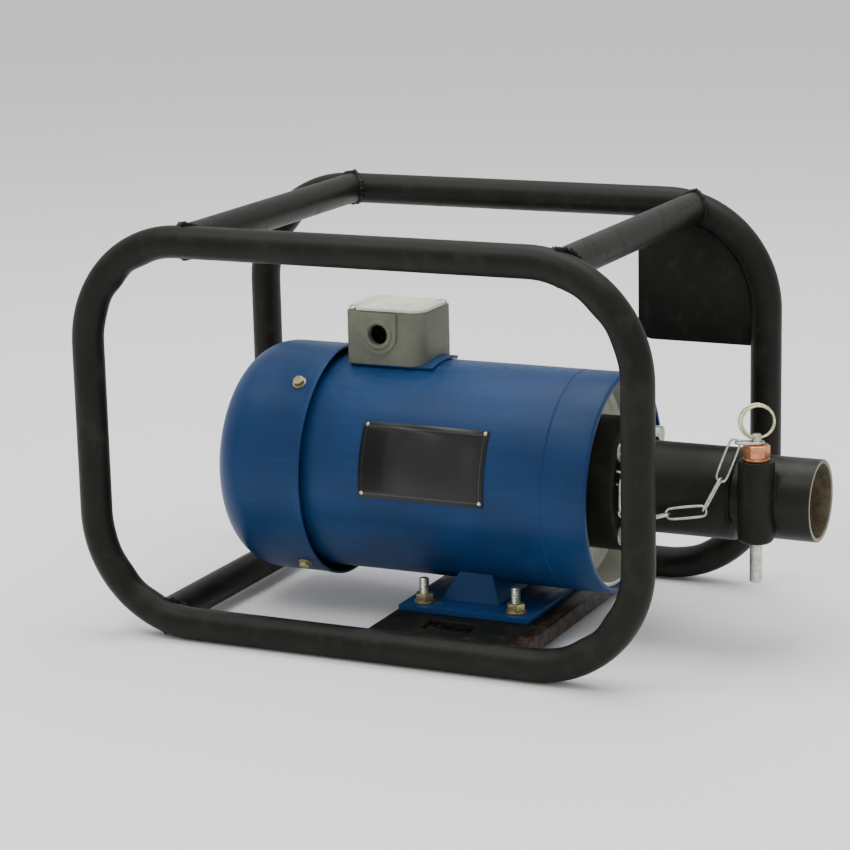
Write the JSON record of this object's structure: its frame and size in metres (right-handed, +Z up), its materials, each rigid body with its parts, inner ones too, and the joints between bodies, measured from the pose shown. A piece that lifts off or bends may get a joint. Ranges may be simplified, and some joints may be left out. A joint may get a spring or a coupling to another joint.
{
  "type": "concrete vibrator drive unit",
  "caption": "Electric drive unit of a concrete vibrator: enclosed motor in a tube roll frame, with a pinned socket for a flexible shaft.",
  "frame": {"origin": "middle of the overall length and width, on the floor under the bottom rails", "axes": "+X along the motor axis toward the shaft socket, +Y toward the side with the switch plate, +Z up"},
  "size_m": [0.5638, 0.3206, 0.3305],
  "materials": {
    "frame_black": "semi-gloss black paint",
    "motor_blue": "glossy blue enamel",
    "cast_grey": "rough grey-painted casting",
    "lid_grey": "pale grey paint",
    "shield_aluminium": "machined casting",
    "zinc_yellow": "yellow zinc plate",
    "steel": "bare steel",
    "copper_head": "copper-coloured plate",
    "plate_black": "dark printed foil, left blank",
    "winding_copper": "varnished copper wire",
    "lamination": "bare electrical sheet",
    "fan_plastic": "moulded black plastic"
  },
  "bodies": {
    "root": {"near_hoop": "frame_black", "far_hoop": "frame_black", "rear_top_tube": "frame_black", "front_top_tube": "frame_black", "rear_bottom_tube": "frame_black", "base_plate": "frame_black", "switch_plate": "frame_black", "coupling_flange": "frame_black", "coupling_tube": "frame_black", "socket_tube": "frame_black", "pin_sleeve": "frame_black", "motor_shell": "motor_blue", "rear_endshield": "motor_blue", "fan_cowl": "motor_blue", "motor_foot": "motor_blue", "terminal_seat": "motor_blue", "front_endshield": "shield_aluminium", "cowl_screw_1": "zinc_yellow", "cowl_screw_2": "zinc_yellow", "cowl_screw_3": "zinc_yellow", "cowl_screw_4": "zinc_yellow", "foot_nut_1": "zinc_yellow", "foot_nut_2": "zinc_yellow", "foot_nut_3": "zinc_yellow", "foot_nut_4": "zinc_yellow", "foot_bolt_1": "steel", "foot_bolt_2": "steel", "foot_bolt_3": "steel", "foot_bolt_4": "steel", "flange_bolt_1": "steel", "flange_bolt_2": "steel", "flange_bolt_3": "steel", "flange_bolt_4": "steel", "lid_screw_1": "steel", "lid_screw_2": "steel", "front_bearing": "steel", "rear_bearing": "steel", "chain_eye": "steel", "stator_core": "lamination", "front_winding": "winding_copper", "rear_winding": "winding_copper", "terminal_box": "cast_grey", "terminal_lid": "lid_grey", "nameplate": "plate_black", "terminal_board": "fan_plastic"},
    "rotor": {"motor_shaft": "steel", "rotor_core": "lamination", "cooling_fan": "fan_plastic", "drive_hub": "steel"},
    "pin": {"lock_pin": "steel", "pin_head": "copper_head", "chain_link_5": "steel", "chain_link_6": "steel", "chain_link_7": "steel"},
    "ring": {"pull_ring": "zinc_yellow"},
    "chain_lower": {"chain_link_1": "steel"},
    "chain_middle": {"chain_link_2": "steel", "chain_link_3": "steel", "chain_link_4": "steel"}
  },
  "joints": [
    {"name": "rotor_spin", "type": "hinge", "parent": "root", "child": "rotor", "pos_m": [-0.03967, 0, 0.1185], "axis": [1, 0, 0], "continuous": true},
    {"name": "pin_lift", "type": "slide", "parent": "root", "child": "pin", "axis": [0, 0, 1], "range_m": [0, 0.08], "deforming": ["chain_link_1", "chain_link_2", "chain_link_3", "chain_link_4", "chain_link_5", "chain_link_6", "chain_link_7"]},
    {"name": "ring_swing", "type": "hinge", "parent": "pin", "child": "ring", "pos_m": [0.24033, -0.03, 0.171], "axis": [0.9063, 0.4226, 0], "range_deg": [-70, 70]},
    {"name": "chain_lower_swing", "type": "hinge", "parent": "root", "child": "chain_lower", "pos_m": [0.13733, -0.044, 0.134], "axis": [0, 1, 0], "range_deg": [-107.5, 2]},
    {"name": "chain_middle_swing", "type": "hinge", "parent": "chain_lower", "child": "chain_middle", "pos_m": [0.13713, -0.044, 0.107], "axis": [0, 1, 0], "range_deg": [-2, 61]}
  ],
  "couplings": [
    {"joint": "chain_lower_swing", "follows": "pin_lift", "rad_per_m": -23.163},
    {"joint": "chain_middle_swing", "follows": "pin_lift", "rad_per_m": 12.977}
  ]
}
